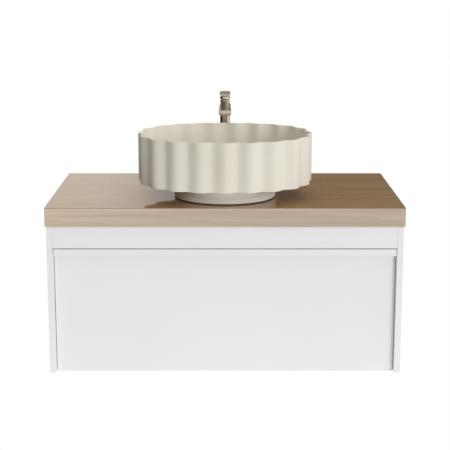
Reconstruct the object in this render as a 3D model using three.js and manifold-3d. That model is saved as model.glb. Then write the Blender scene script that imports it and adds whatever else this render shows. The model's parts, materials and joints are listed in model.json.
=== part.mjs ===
// A vessel sink on a wall-hung vanity: a fluted oval basin and a single-lever tap stand on a thick
// worktop, over a lacquered cabinet with one full-width drawer that is cut away round the trap.
//
// Millimetres. +X runs to the right, +Z up, and the wall lies at Y = 0 with the front facing -Y.
// The origin is at the middle of the worktop's back edge, on the wall.

import * as THREE from 'three';
import { mergeVertices } from 'three/addons/utils/BufferGeometryUtils.js';
import Module from 'manifold-3d';

const wasm = await Module();
wasm.setup();

// ---------------------------------------------------------------- driving dimensions

const GAP = 0.3; // left between pieces that touch

const worktop = { width: 1000, depth: 500, thickness: 53, band: 1.5 };
const deck = worktop.thickness / 2; // height of the worktop's upper face; its lower face is at -deck

const cabinet = {
  width: 994,
  height: 428,
  setback: 4, // of its front from the worktop's front
  panel: 17,
  board: 16,
  bottomRise: 1.5, // of the bottom panel above the side panels' lower edges
  fasciaHeight: 63,
  railHeight: 100,
  railFromWall: 20,
  lowerRailHeight: 60,
  stretcherDepth: 80,
};

const hanger = {
  fromCentre: 400,
  width: 60,
  height: 60,
  gauge: 2,
  belowCabinetTop: 18,
  hookDepth: 20,
  hookFromWall: 5,
  plateHookFromWall: 9,
  screwHoleRadius: 4,
  screwFromCentre: 15,
  screwDrop: 45, // below the hanger's top
};

const drawer = {
  reveal: 2.5, // between the fascia and the grip lip
  lipHeight: 20,
  recess: 17, // of the front behind the lip
  sideGap: 1.5,
  wall: 12,
  sideThickness: 15,
  sideHeight: 200,
  bottom: 8,
  bottomClearance: 9,
  backFromWall: 50,
  notchHalfWidth: 75, // the cut-out round the trap
  notchFront: 54, // of its front edge from the trap's centre
};

const runner = { length: 400, height: 45, width: 12.7, gauge: 1.2, aboveDrawerBottom: 55, fromWall: 58 };

const basin = {
  fromFront: 163, // from the worktop's front to the basin's centre
  semiX: 245, // of the wall's mean outline, midway between crest and valley
  semiY: 187,
  squareness: 2.27, // 2 is an ellipse
  flutes: 20,
  fluteDepth: 5, // of a crest or valley from the mean outline
  fluteSharpness: 1.15,
  stepsPerFlute: 4,
  rim: 186, // heights above the worktop
  wallBase: 47,
  footBase: 1.5,
  footSemiX: 152,
  footSemiY: 136,
  footTaper: 7,
  footWall: 12,
};

const waste = {
  holeRadius: 23,
  bodyRadius: 21.5,
  boreRadius: 19,
  flangeRadius: 32.5,
  flangeThickness: 2.2,
  recessRadius: 34,
  recessHeight: 52,
  gasket: 1.5, // the height that the upper gasket fills
  neckDrop: 24, // from the worktop's lower face to where the body narrows
  tailRadius: 16,
  tailBoreRadius: 14,
  tailDepth: 110, // below the worktop's upper face
  washerRadius: 31,
  washer: 3.3, // the height that the lower gasket fills
  nutAcrossFlats: 56,
  nutHeight: 10.4,
  guideBottom: 18, // heights of the sleeve in the throat that guides the plug's stem
  guideTop: 28,
  guideWall: 3,
  armThickness: 3,
  stemRadius: 4,
  stemBottom: 8,
  plugRadius: 30,
  plugThickness: 5.7,
};

const trap = {
  bodyRadius: 33,
  wall: 2.5,
  top: 160, // depths below the worktop's upper face
  shoulder: 178,
  dipTubeEnd: 232,
  cupTop: 236,
  bottom: 262,
  outletHeight: 200,
  collarRadius: 22,
  inletNutAcrossFlats: 42,
  inletNutHalf: 12, // above and below the joint that it closes
  stubRadius: 18,
  outletReach: 52,
  outletNutAcrossFlats: 46,
  outletNutBefore: 10, // before and past the stub's end
  outletNutPast: 12,
  rosetteRadius: 35,
  rosetteDepth: 12,
};

const tap = {
  fromFront: 412,
  columnRadius: 15,
  columnHeight: 247.6,
  spoutReach: 158,
  spoutBase: 221.5,
  spoutTop: 237,
  spoutRearWidth: 33.4,
  spoutFrontWidth: 36,
  hubBase: 250.4,
  hubTop: 260.5,
  leverBase: 271.2,
  leverTop: 274.6,
  leverWidth: 32.4,
  leverReach: 75, // forward of the column's centre
  pivotHeight: 246.5,
  pivotRadius: 1.5,
  pinLength: 20,
  skirtRadius: 12, // of the hub's lower part, inside the column
  skirtBase: 238,
  neckHalfWidth: 5, // of the lever's neck, which goes down through the hub
  neckHalfDepth: 4,
  slotBack: 12.8, // behind the centre, so that the neck can lean back
  baseRingWidth: 6,
  baseRingHeight: 4,
  cartridgeBore: 12.8,
  cartridgeSeat: 205,
  cartridgeHeight: 25,
  cartridgeNutHeight: 6.2,
  waterwayRadius: 9,
  portRadius: 5,
  outletFromEnd: 18,
  outletRadius: 11,
  aeratorBore: 7,
  aeratorHeight: 7,
  deckHoleRadius: 17.5,
  shankRadius: 14,
  shankBore: 11,
  shankDrop: 30, // below the worktop's lower face
  washerRadius: 24,
  rubberWasher: 3.3,
  horseshoeWasher: 2,
  nutAcrossFlats: 36,
  nutHeight: 8.1,
  inletRadius: 5,
  inletBore: 3.2,
  inletDrop: 40, // below the worktop's lower face
};

// ---------------------------------------------------------------- places worked out from them

const frontY = -worktop.depth + cabinet.setback;
const cabinetTop = -deck;
const cabinetBottom = cabinetTop - cabinet.height;
const innerX = cabinet.width / 2 - cabinet.panel; // inner faces of the side panels
const floorTop = cabinetBottom + cabinet.bottomRise + cabinet.board;
const fasciaBottom = cabinetTop - cabinet.fasciaHeight;
const lipTop = fasciaBottom - drawer.reveal;
const lipBottom = lipTop - drawer.lipHeight;
const drawerFrontY = frontY + drawer.recess;
const drawerFrontBack = drawerFrontY + cabinet.board;
const drawerBase = floorTop + drawer.bottomClearance;
const basinY = -worktop.depth + basin.fromFront;
const tapY = -worktop.depth + tap.fromFront;

// ---------------------------------------------------------------- finishes

const finishes = {
  oak: { color: 0xb99a7c, roughness: 0.25, metalness: 0 },
  oakBand: { color: 0xbfa284, roughness: 0.35, metalness: 0 },
  lacquer: { color: 0xe9e9e8, roughness: 0.5, metalness: 0 },
  ceramic: { color: 0xe4dac8, roughness: 0.55, metalness: 0 },
  metal: { color: 0xa8937a, roughness: 0.32, metalness: 1 },
  chrome: { color: 0xd8dadd, roughness: 0.12, metalness: 1 },
  zinc: { color: 0xb4b7ba, roughness: 0.4, metalness: 1 },
  steel: { color: 0xc3c6c8, roughness: 0.35, metalness: 1 },
  rubber: { color: 0x1d1d1e, roughness: 0.8, metalness: 0 },
  silicone: { color: 0x8f867a, roughness: 0.7, metalness: 0 },
  plastic: { color: 0xf0f0ee, roughness: 0.5, metalness: 0 },
  drawerBoard: { color: 0xd6d2ca, roughness: 0.6, metalness: 0 },
};

function piece(group, name, finish, geometry) {
  const mesh = new THREE.Mesh(geometry, new THREE.MeshStandardMaterial(finishes[finish]));
  mesh.name = name;
  group.add(mesh);
  return mesh;
}

function groupAt(x, y, z) {
  const group = new THREE.Group();
  group.position.set(x, y, z);
  return group;
}

// ---------------------------------------------------------------- shape helpers

// A box between two corners.
function block([x0, y0, z0], [x1, y1, z1]) {
  const box = new THREE.BoxGeometry(x1 - x0, y1 - y0, z1 - z0);
  return box.translate((x0 + x1) / 2, (y0 + y1) / 2, (z0 + z1) / 2);
}

// A body turned round the Z axis from a closed profile of [radius, height] points. The profile goes
// up its outer side and down its inner side.
function turned(profile, segments = 24) {
  const closed = [...profile, profile[0]].map(([radius, height]) => new THREE.Vector2(radius, height));
  return new THREE.LatheGeometry(closed, segments).rotateX(Math.PI / 2);
}

// A solid turned body whose profile starts and ends on the axis.
function turnedSolid(profile, segments = 24) {
  const points = profile.map(([radius, height]) => new THREE.Vector2(radius, height));
  return new THREE.LatheGeometry(points, segments).rotateX(Math.PI / 2);
}

function tube(outer, inner, bottom, top, segments = 24) {
  return turned([[inner, bottom], [outer, bottom], [outer, top], [inner, top]], segments);
}

function rod(radius, bottom, top, segments = 24) {
  return turnedSolid([[0, bottom], [radius, bottom], [radius, top], [0, top]], segments);
}

// A shape in the XY plane, raised from one height to another.
function raised(shape, bottom, top, curveSegments = 12) {
  const options = { depth: top - bottom, bevelEnabled: false, curveSegments };
  return new THREE.ExtrudeGeometry(shape, options).translate(0, 0, bottom);
}

function polygon(points) {
  return new THREE.Shape(points.map(([x, y]) => new THREE.Vector2(x, y)));
}

// A sheet-metal section of [y, z] points, run along X from x0 to x1.
function sectionAlongX(points, x0, x1) {
  return raised(polygon(points), 0, x1 - x0).rotateZ(Math.PI / 2).rotateY(Math.PI / 2).translate(x0, 0, 0);
}

// A section of [x, z] points, run along Y from y0 to y1.
function sectionAlongY(points, y0, y1) {
  return raised(polygon(points), 0, y1 - y0).rotateX(Math.PI / 2).translate(0, y1, 0);
}

// A hexagonal nut round the Z axis.
function hexNut(acrossFlats, boreRadius, bottom, top) {
  const corner = acrossFlats / Math.sqrt(3);
  const corners = Array.from({ length: 6 }, (_, i) => {
    const angle = (i * Math.PI) / 3;
    return [corner * Math.cos(angle), corner * Math.sin(angle)];
  });
  const nut = polygon(corners);
  nut.holes.push(new THREE.Path().absarc(0, 0, boreRadius, 0, 2 * Math.PI));
  return raised(nut, bottom, top, 10);
}

function solid(geometry) {
  const bare = geometry.clone();
  bare.deleteAttribute('normal');
  bare.deleteAttribute('uv');
  const merged = mergeVertices(bare, 1e-4);
  return new wasm.Manifold(new wasm.Mesh({
    numProp: 3,
    vertProperties: new Float32Array(merged.attributes.position.array),
    triVerts: new Uint32Array(merged.index.array),
  }));
}

function geometryOf(manifold) {
  const mesh = manifold.getMesh();
  const geometry = new THREE.BufferGeometry();
  geometry.setAttribute('position', new THREE.BufferAttribute(mesh.vertProperties, 3));
  geometry.setIndex(new THREE.BufferAttribute(mesh.triVerts, 1));
  geometry.computeVertexNormals();
  return geometry;
}

function cut(body, ...tools) {
  return geometryOf(tools.reduce((rest, tool) => rest.subtract(solid(tool)), solid(body)));
}

function joined(...bodies) {
  return geometryOf(bodies.map(solid).reduce((whole, body) => whole.add(body)));
}

// ---------------------------------------------------------------- worktop

function buildWorktop() {
  const group = groupAt(0, 0, 0);
  const halfWidth = worktop.width / 2;
  const coreX = halfWidth - worktop.band - GAP;
  const coreFront = -worktop.depth + worktop.band + GAP;
  const wasteHole = rod(waste.bodyRadius + 4, -deck - 1, deck + 1).translate(0, basinY, 0);
  const tapHole = rod(tap.deckHoleRadius, -deck - 1, deck + 1).translate(0, tapY, 0);
  piece(group, 'worktop_core', 'oak',
    cut(block([-coreX, coreFront, -deck], [coreX, 0, deck]), wasteHole, tapHole));
  piece(group, 'worktop_front_band', 'oakBand',
    block([-halfWidth, -worktop.depth, -deck], [halfWidth, -worktop.depth + worktop.band, deck]));
  piece(group, 'worktop_left_band', 'oakBand',
    block([-halfWidth, coreFront, -deck], [-halfWidth + worktop.band, 0, deck]));
  piece(group, 'worktop_right_band', 'oakBand',
    block([halfWidth - worktop.band, coreFront, -deck], [halfWidth, 0, deck]));
  return group;
}

// ---------------------------------------------------------------- cabinet

function buildCabinet() {
  const group = groupAt(0, 0, 0);
  const top = cabinetTop - GAP;
  const betweenX = innerX - GAP;
  const railFront = -cabinet.railFromWall - cabinet.board;
  for (const [name, side] of [['left', -1], ['right', 1]]) {
    const xs = [side * innerX, side * cabinet.width / 2].sort((a, b) => a - b);
    piece(group, `${name}_side_panel`, 'lacquer', block([xs[0], frontY, cabinetBottom], [xs[1], 0, top]));
  }
  piece(group, 'fascia_panel', 'lacquer',
    block([-betweenX, frontY, fasciaBottom], [betweenX, frontY + cabinet.board, top]));
  piece(group, 'front_stretcher', 'lacquer',
    block([-betweenX, frontY + cabinet.board + GAP, top - cabinet.board],
      [betweenX, frontY + cabinet.board + cabinet.stretcherDepth, top]));
  piece(group, 'bottom_panel', 'lacquer',
    block([-betweenX, drawerFrontBack + 2, floorTop - cabinet.board],
      [betweenX, -cabinet.railFromWall, floorTop]));
  piece(group, 'rear_hanging_rail', 'lacquer',
    block([-betweenX, railFront, top - cabinet.railHeight], [betweenX, -cabinet.railFromWall, top]));
  piece(group, 'rear_lower_rail', 'lacquer',
    block([-betweenX, railFront, floorTop + GAP],
      [betweenX, -cabinet.railFromWall, floorTop + cabinet.lowerRailHeight]));
  return group;
}

// Two steel hangers on the hanging rail hook over two plates screwed to the wall.
function buildWallHangers() {
  const group = groupAt(0, 0, 0);
  const { gauge, width, hookDepth } = hanger;
  const railBack = -cabinet.railFromWall + GAP;
  const top = cabinetTop - hanger.belowCabinetTop;
  const bottom = top - hanger.height;
  const hookY = -hanger.hookFromWall;
  const hanging = [
    [railBack, top], [hookY, top], [hookY, top - hookDepth], [hookY - gauge, top - hookDepth],
    [hookY - gauge, top - gauge], [railBack + gauge, top - gauge], [railBack + gauge, bottom],
    [railBack, bottom],
  ];
  const plateHookY = -hanger.plateHookFromWall;
  const plateTop = top - gauge - GAP;
  const ledge = top - hookDepth - 3;
  const plate = [
    [0, bottom], [0, ledge], [plateHookY, ledge], [plateHookY, plateTop], [plateHookY - gauge, plateTop],
    [plateHookY - gauge, ledge - gauge], [-gauge, ledge - gauge], [-gauge, bottom],
  ];
  for (const [name, side] of [['left', -1], ['right', 1]]) {
    const centre = side * hanger.fromCentre;
    const x0 = centre - width / 2;
    const holes = [-1, 1].map((across) => rod(hanger.screwHoleRadius, -10, 10, 16)
      .rotateX(Math.PI / 2)
      .translate(centre + across * hanger.screwFromCentre, 0, top - hanger.screwDrop));
    piece(group, `${name}_wall_plate`, 'zinc', cut(sectionAlongX(plate, x0, x0 + width), ...holes));
    piece(group, `${name}_hanger`, 'zinc', sectionAlongX(hanging, x0, x0 + width));
  }
  return group;
}

// ---------------------------------------------------------------- basin

// The angles that divide the wall's mean outline into equal lengths, anticlockwise from its right end.
function outlineAngles(count) {
  const fine = 40 * count;
  const point = (k) => superellipse((2 * Math.PI * k) / fine, basin.semiX, basin.semiY, basin.squareness);
  const lengths = [0];
  for (let k = 1; k <= fine; k += 1) {
    lengths.push(lengths[k - 1] + point(k).distanceTo(point(k - 1)));
  }
  const angles = [];
  for (let k = 0; angles.length < count; k += 1) {
    if (lengths[k] >= (lengths[fine] * angles.length) / count - 1e-6) {
      angles.push((2 * Math.PI * k) / fine);
    }
  }
  return angles;
}

function superellipse(angle, semiX, semiY, squareness) {
  const power = 2 / squareness;
  const c = Math.cos(angle);
  const s = Math.sin(angle);
  return new THREE.Vector2(
    semiX * Math.sign(c) * Math.abs(c) ** power,
    semiY * Math.sign(s) * Math.abs(s) ** power,
  );
}

// A closed body swept through rings of equal length that join end to end. The rings rise on the
// outside and come down on the inside.
function loft(rings) {
  const count = rings[0].length;
  const index = [];
  rings.forEach((_, r) => {
    const next = (r + 1) % rings.length;
    for (let i = 0; i < count; i += 1) {
      const j = (i + 1) % count;
      const [a, b, c, d] = [r * count + i, r * count + j, next * count + j, next * count + i];
      index.push(a, b, c, a, c, d);
    }
  });
  const geometry = new THREE.BufferGeometry();
  geometry.setFromPoints(rings.flat());
  geometry.setIndex(index);
  geometry.computeVertexNormals();
  return geometry;
}

function buildBasin() {
  const group = groupAt(0, basinY, deck);
  const angles = outlineAngles(basin.flutes * basin.stepsPerFlute);

  const oval = (semiX, semiY, height, squareness = 2) => angles.map((angle) => {
    const point = superellipse(angle, semiX, semiY, squareness);
    return new THREE.Vector3(point.x, point.y, height);
  });
  const circle = (radius, height) => oval(radius, radius, height);

  // The fluted wall, moved inwards by an inset; flute scales the depth of its flutes.
  const wall = (inset, height, flute = 1) => {
    const semiX = basin.semiX - inset;
    const semiY = basin.semiY - inset;
    return angles.map((angle, i) => {
      const point = superellipse(angle, semiX, semiY, basin.squareness);
      const steepness = basin.squareness - 1;
      const normal = new THREE.Vector2(
        (Math.sign(point.x) * Math.abs(point.x / semiX) ** steepness) / semiX,
        (Math.sign(point.y) * Math.abs(point.y / semiY) ** steepness) / semiY,
      ).normalize();
      const crest = (1 + Math.cos((2 * Math.PI * i) / basin.stepsPerFlute)) / 2;
      const swell = flute * basin.fluteDepth * (2 * crest ** basin.fluteSharpness - 1);
      point.addScaledVector(normal, swell);
      return new THREE.Vector3(point.x, point.y, height);
    });
  };

  const outside = [
    wall(2, basin.wallBase), wall(0, basin.wallBase + 3),
    wall(0, basin.rim - 1.5), wall(1.2, basin.rim), wall(3.8, basin.rim),
  ];
  const inside = [
    wall(5, basin.rim - 1.5), wall(7, 120), wall(11, 90, 0.85), wall(26, 70, 0.4), wall(58, 61, 0),
    oval(120, 88, 57.5), circle(waste.recessRadius, waste.recessHeight + 3),
    circle(waste.recessRadius - 0.5, waste.recessHeight), circle(waste.holeRadius, waste.recessHeight),
    circle(waste.holeRadius, 39),
  ];
  const footInnerX = basin.footSemiX - basin.footWall;
  const footInnerY = basin.footSemiY - basin.footWall;
  const foot = [
    oval(footInnerX - 12, footInnerY - 12, 41), oval(footInnerX, footInnerY, 34),
    oval(footInnerX - basin.footTaper, footInnerY - basin.footTaper, basin.footBase),
    oval(basin.footSemiX - basin.footTaper, basin.footSemiY - basin.footTaper, basin.footBase),
    oval(basin.footSemiX, basin.footSemiY, basin.wallBase - 3),
  ];
  piece(group, 'basin', 'ceramic', loft([...outside, ...inside, ...foot]));

  const seal = new THREE.Shape().absellipse(0, 0, basin.footSemiX - basin.footTaper - 2,
    basin.footSemiY - basin.footTaper - 2, 0, 2 * Math.PI);
  seal.holes.push(new THREE.Path().absellipse(0, 0, footInnerX - basin.footTaper + 2,
    footInnerY - basin.footTaper + 2, 0, 2 * Math.PI));
  piece(group, 'basin_seal', 'silicone', raised(seal, GAP, basin.footBase - GAP, 20));
  return group;
}

// ---------------------------------------------------------------- waste and trap

// A cross in the throat carries the sleeve that guides the plug's stem.
function buildWaste() {
  const group = groupAt(0, basinY, deck);
  const under = -worktop.thickness;
  const bevel = 1;
  const flangeUnder = waste.recessHeight + waste.gasket + GAP;
  const flangeTop = flangeUnder + waste.flangeThickness;
  const neck = under - waste.neckDrop;

  const shell = turned([
    [waste.tailBoreRadius, -waste.tailDepth], [waste.tailRadius, -waste.tailDepth],
    [waste.tailRadius, neck - 2], [waste.bodyRadius, neck], [waste.bodyRadius, flangeUnder],
    [waste.flangeRadius, flangeUnder], [waste.flangeRadius, flangeTop - bevel],
    [waste.flangeRadius - bevel, flangeTop], [waste.boreRadius + 6, flangeTop],
    [waste.boreRadius, flangeTop - 3], [waste.boreRadius, neck + 2], [waste.tailBoreRadius, neck - bevel],
  ], 32);
  const armReach = waste.boreRadius + 1;
  const armHalf = waste.armThickness / 2;
  const [armBottom, armTop] = [waste.guideBottom + 2, waste.guideTop - 2];
  const arms = [
    block([-armReach, -armHalf, armBottom], [armReach, armHalf, armTop]),
    block([-armHalf, -armReach, armBottom], [armHalf, armReach, armTop]),
  ];
  const sleeve = rod(waste.stemRadius + waste.guideWall, waste.guideBottom, waste.guideTop, 12);
  const guide = rod(waste.stemRadius + GAP, waste.guideBottom - 1, waste.guideTop + 1, 12);
  piece(group, 'waste_body', 'chrome', cut(joined(shell, ...arms, sleeve), guide));

  piece(group, 'waste_top_gasket', 'rubber', tube(waste.flangeRadius - 1, waste.bodyRadius + 1,
    waste.recessHeight + GAP, waste.recessHeight + waste.gasket));
  piece(group, 'waste_bottom_gasket', 'rubber',
    tube(waste.washerRadius, waste.bodyRadius + GAP, under - waste.washer, under - GAP));
  const nutTop = under - waste.washer - GAP;
  piece(group, 'waste_nut', 'chrome',
    hexNut(waste.nutAcrossFlats, waste.bodyRadius + GAP, nutTop - waste.nutHeight, nutTop));

  const head = flangeTop + GAP;
  const crown = head + waste.plugThickness;
  piece(group, 'waste_plug', 'metal', turnedSolid([
    [0, waste.stemBottom], [waste.stemRadius, waste.stemBottom], [waste.stemRadius, head],
    [waste.plugRadius - bevel, head], [waste.plugRadius, head + bevel], [waste.plugRadius, crown - 2.5],
    [waste.plugRadius - 2, crown - 0.8], [0, crown],
  ]));
  return group;
}

// A bottle trap: the dip tube ends below the outlet, inside a body closed by a cup.
function buildTrap() {
  const group = groupAt(0, basinY, deck);
  const outer = trap.bodyRadius;
  const inner = outer - trap.wall;
  const bore = waste.tailRadius + GAP;
  const joint = -waste.tailDepth - GAP;
  const alongY = (geometry) => geometry.rotateX(-Math.PI / 2).translate(0, 0, -trap.outletHeight);

  piece(group, 'trap_inlet_nut', 'chrome',
    hexNut(trap.inletNutAcrossFlats, bore, joint - trap.inletNutHalf, joint + trap.inletNutHalf));
  piece(group, 'trap_dip_tube', 'chrome',
    tube(waste.tailRadius, waste.tailBoreRadius, -trap.dipTubeEnd, joint));

  const ceiling = -trap.shoulder - 3;
  const shell = turned([
    [inner, -trap.cupTop], [outer, -trap.cupTop], [outer, -trap.shoulder],
    [trap.collarRadius + 1, -trap.top - 12], [trap.collarRadius, -trap.top], [bore, -trap.top],
    [bore, -trap.top - 14], [inner, ceiling],
  ]);
  const stub = alongY(rod(trap.stubRadius, inner - 4, trap.outletReach));
  const hollow = rod(inner, -trap.cupTop, ceiling);
  const outlet = alongY(rod(trap.stubRadius - trap.wall, 0, trap.outletReach + 1));
  piece(group, 'trap_body', 'chrome', cut(joined(shell, stub), hollow, outlet));

  const cupTop = -trap.cupTop - GAP;
  const [cupOuter, cupInner, cupFloor] = [outer - 1, inner - 1, -trap.bottom + 4];
  piece(group, 'trap_cup', 'chrome', turnedSolid([
    [0, -trap.bottom], [cupOuter - 7, -trap.bottom], [cupOuter - 1, -trap.bottom + 5], [cupOuter, cupTop],
    [cupInner, cupTop], [cupInner, cupFloor + 2], [0, cupFloor],
  ]));

  const wallAt = -basinY;
  piece(group, 'trap_outlet_nut', 'chrome', alongY(hexNut(trap.outletNutAcrossFlats, trap.stubRadius + GAP,
    trap.outletReach - trap.outletNutBefore, trap.outletReach + trap.outletNutPast)));
  piece(group, 'trap_outlet_pipe', 'chrome',
    alongY(tube(waste.tailRadius, waste.tailBoreRadius, trap.outletReach + GAP, wallAt)));
  const rosetteFront = wallAt - trap.rosetteDepth;
  piece(group, 'trap_wall_rosette', 'chrome', alongY(turned([
    [bore, rosetteFront], [waste.tailRadius + 3, rosetteFront], [trap.rosetteRadius - 9, rosetteFront + 4],
    [trap.rosetteRadius, wallAt - 2], [trap.rosetteRadius, wallAt], [bore, wallAt],
  ])));
  return group;
}

// ---------------------------------------------------------------- tap

// A plate whose rear end is round about the column's centre and whose front end is square.
function tapPlate(rearRadius, frontWidth, reach, corner) {
  const shape = new THREE.Shape();
  const half = frontWidth / 2;
  shape.moveTo(rearRadius, 0);
  shape.absarc(0, 0, rearRadius, 0, Math.PI);
  shape.lineTo(-half, -reach + corner);
  shape.absarc(-half + corner, -reach + corner, corner, Math.PI, 1.5 * Math.PI);
  shape.absarc(half - corner, -reach + corner, corner, 1.5 * Math.PI, 2 * Math.PI);
  shape.closePath();
  return shape;
}

function buildTapBody() {
  const group = groupAt(0, tapY, deck);
  const radius = tap.columnRadius;
  const ringRadius = radius + tap.baseRingWidth;
  const ringBevel = 1.5;
  const { cartridgeBore: bore, cartridgeSeat: seat } = tap;
  const middle = (tap.spoutBase + tap.spoutTop) / 2;
  const outletY = -tap.spoutReach + tap.outletFromEnd;

  piece(group, 'tap_base_ring', 'metal', turned([
    [radius + GAP, GAP], [ringRadius, GAP], [ringRadius, tap.baseRingHeight - ringBevel],
    [ringRadius - ringBevel, tap.baseRingHeight], [radius + GAP, tap.baseRingHeight],
  ]));

  const column = turned([
    [tap.waterwayRadius, GAP], [radius, GAP], [radius, tap.columnHeight], [bore, tap.columnHeight],
    [bore, seat], [tap.waterwayRadius, seat],
  ]);
  const port = rod(tap.portRadius, 0, radius + 1, 16).rotateX(Math.PI / 2).translate(0, 0, middle);
  piece(group, 'tap_column', 'metal', cut(column, port));

  const bar = raised(tapPlate(tap.spoutRearWidth / 2, tap.spoutFrontWidth, tap.spoutReach, 3),
    tap.spoutBase, tap.spoutTop, 10);
  const sleeveHole = rod(radius + GAP, tap.spoutBase - 1, tap.spoutTop + 1, 32);
  const channel = block([-6, outletY, middle - 3], [6, -radius, middle + 3]);
  const outlet = rod(tap.outletRadius, tap.spoutBase - 1, middle + 3).translate(0, outletY, 0);
  piece(group, 'tap_spout', 'metal', cut(bar, sleeveHole, channel, outlet));
  piece(group, 'tap_aerator', 'plastic', tube(tap.outletRadius - GAP, tap.aeratorBore,
    tap.spoutBase + GAP, tap.spoutBase + tap.aeratorHeight, 16).translate(0, outletY, 0));

  const cartridgeTop = seat + tap.cartridgeHeight;
  piece(group, 'tap_cartridge', 'plastic', rod(bore - GAP, seat + GAP, cartridgeTop));
  piece(group, 'tap_cartridge_nut', 'zinc',
    tube(bore - GAP, 10, cartridgeTop + GAP, cartridgeTop + GAP + tap.cartridgeNutHeight));
  return group;
}

// What clamps the tap to the worktop from below, and the ends of its two supply tubes.
function buildTapFixing() {
  const group = groupAt(0, tapY, deck);
  const under = -worktop.thickness;
  const rim = tap.washerRadius;
  const slot = tap.shankRadius + GAP;
  piece(group, 'tap_shank', 'zinc', tube(tap.shankRadius, tap.shankBore, under - tap.shankDrop, 0));
  piece(group, 'tap_rubber_washer', 'rubber', tube(rim, slot, under - tap.rubberWasher, under - GAP));

  const horseshoe = polygon([[-slot, -rim], [-slot, 0]]);
  horseshoe.absarc(0, 0, slot, Math.PI, 0, true);
  horseshoe.lineTo(slot, -rim);
  horseshoe.lineTo(rim, -rim);
  horseshoe.absarc(0, 0, rim, 0, Math.PI, false);
  horseshoe.lineTo(-rim, -rim);
  horseshoe.closePath();
  const washerTop = under - tap.rubberWasher - GAP;
  const washerBottom = washerTop - tap.horseshoeWasher;
  piece(group, 'tap_horseshoe_washer', 'zinc', raised(horseshoe, washerBottom, washerTop, 8));
  const nutTop = washerBottom - GAP;
  piece(group, 'tap_fixing_nut', 'zinc', hexNut(tap.nutAcrossFlats, slot, nutTop - tap.nutHeight, nutTop));
  for (const [name, side] of [['hot', -1], ['cold', 1]]) {
    piece(group, `tap_${name}_inlet`, 'zinc',
      tube(tap.inletRadius, tap.inletBore, under - tap.inletDrop, -2, 12)
        .translate(side * (tap.inletRadius + GAP), 0, 0));
  }
  return group;
}

// The hub turns on the column, and the lever tilts on a pin across the hub's skirt.
function buildTapLever() {
  const group = groupAt(0, tapY, deck);
  const bevel = 0.6;
  const across = (geometry) => geometry.rotateY(Math.PI / 2).translate(0, 0, tap.pivotHeight);
  const pinHole = () => across(rod(tap.pivotRadius + GAP, -tap.columnRadius, tap.columnRadius, 16));
  const hub = turnedSolid([
    [0, tap.skirtBase], [tap.skirtRadius, tap.skirtBase], [tap.skirtRadius, tap.hubBase],
    [tap.columnRadius, tap.hubBase], [tap.columnRadius, tap.hubTop - bevel],
    [tap.columnRadius - bevel, tap.hubTop], [0, tap.hubTop],
  ]);
  const slotHalf = tap.neckHalfWidth + 1;
  const slot = block([-slotHalf, -slotHalf, tap.skirtBase - 5], [slotHalf, tap.slotBack, tap.hubTop + 5]);
  piece(group, 'tap_hub', 'metal', cut(hub, slot, pinHole()));

  const plate = raised(tapPlate(tap.leverWidth / 2, tap.leverWidth, tap.leverReach, 1.5),
    tap.leverBase, tap.leverTop, 10);
  const neck = block([-tap.neckHalfWidth, -tap.neckHalfDepth, tap.pivotHeight - tap.neckHalfDepth],
    [tap.neckHalfWidth, tap.neckHalfDepth, tap.leverBase + 1]);
  piece(group, 'tap_lever', 'metal', cut(joined(plate, neck), pinHole()));
  piece(group, 'tap_lever_pin', 'steel',
    across(rod(tap.pivotRadius, -tap.pinLength / 2, tap.pinLength / 2, 16)));
  return group;
}

// ---------------------------------------------------------------- drawer

function buildDrawer() {
  const group = groupAt(0, 0, 0);
  const frontX = innerX - drawer.sideGap;
  const boxX = innerX - runner.width - 2 * GAP; // outer faces of the drawer's sides
  const boxInnerX = boxX - drawer.sideThickness;
  const boxFront = drawerFrontBack + GAP;
  const boxBack = -drawer.backFromWall;
  const bottom = drawerBase;
  const notchX = drawer.notchHalfWidth;
  const notchFront = basinY - drawer.notchFront;
  const wallBottom = bottom + drawer.bottom + GAP;
  const wallTop = bottom + drawer.sideHeight;
  const backFront = boxBack - drawer.wall;

  piece(group, 'drawer_front', 'lacquer',
    block([-frontX, drawerFrontY, cabinetBottom], [frontX, drawerFrontBack, lipBottom - GAP]));
  piece(group, 'drawer_grip_lip', 'lacquer',
    block([-frontX, frontY, lipBottom], [frontX, drawerFrontBack, lipTop]));

  for (const [name, side] of [['left', -1], ['right', 1]]) {
    const between = (near, far) => [side * near, side * far].sort((a, b) => a - b);
    const sideX = between(boxInnerX, boxX);
    piece(group, `drawer_${name}_side`, 'drawerBoard',
      block([sideX[0], boxFront, bottom], [sideX[1], boxBack, wallTop]));
    const backX = between(notchX + drawer.wall + GAP, boxInnerX - GAP);
    piece(group, `drawer_${name}_back`, 'drawerBoard',
      block([backX[0], backFront, wallBottom], [backX[1], boxBack, wallTop]));
    const notchWallX = between(notchX, notchX + drawer.wall);
    piece(group, `drawer_notch_${name}`, 'drawerBoard',
      block([notchWallX[0], notchFront - drawer.wall, wallBottom], [notchWallX[1], boxBack, wallTop]));
  }
  piece(group, 'drawer_notch_front', 'drawerBoard',
    block([-notchX + GAP, notchFront - drawer.wall, wallBottom], [notchX - GAP, notchFront, wallTop]));

  const sheetX = boxInnerX - GAP;
  const sheet = polygon([
    [-sheetX, boxFront], [sheetX, boxFront], [sheetX, boxBack], [notchX, boxBack], [notchX, notchFront],
    [-notchX, notchFront], [-notchX, boxBack], [-sheetX, boxBack],
  ]);
  piece(group, 'drawer_bottom', 'drawerBoard', raised(sheet, bottom, bottom + drawer.bottom));
  return group;
}

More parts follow.
